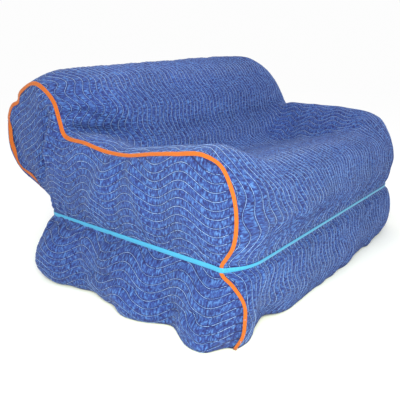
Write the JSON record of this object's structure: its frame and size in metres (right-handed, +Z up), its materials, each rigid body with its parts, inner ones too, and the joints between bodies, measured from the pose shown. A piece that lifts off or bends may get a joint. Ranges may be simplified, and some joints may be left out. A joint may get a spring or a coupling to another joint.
{
  "type": "quilted moving blanket sofa cover",
  "caption": "Fitted cover of quilted blanket cloth that hides a two-seat sofa, with bound end seams and a strap round the waist.",
  "frame": {"origin": "centre of the bounding box in plan, at the level of the hem", "axes": "+X along the width of the sofa to the sitter's left, -Y the open front, +Z up"},
  "size_m": [1.7642, 1.3562, 0.9495],
  "materials": {
    "quilted_cloth": "woven polyester and cotton face, wave-quilted over thin wadding",
    "binding_tape": "folded woven tape, stitched",
    "strap_webbing": "flat woven webbing"
  },
  "bodies": {
    "root": {"body_panel": "quilted_cloth", "end_panel_left": "quilted_cloth", "end_panel_right": "quilted_cloth", "binding_left": "binding_tape", "binding_right": "binding_tape", "strap": "strap_webbing"}
  },
  "joints": []
}
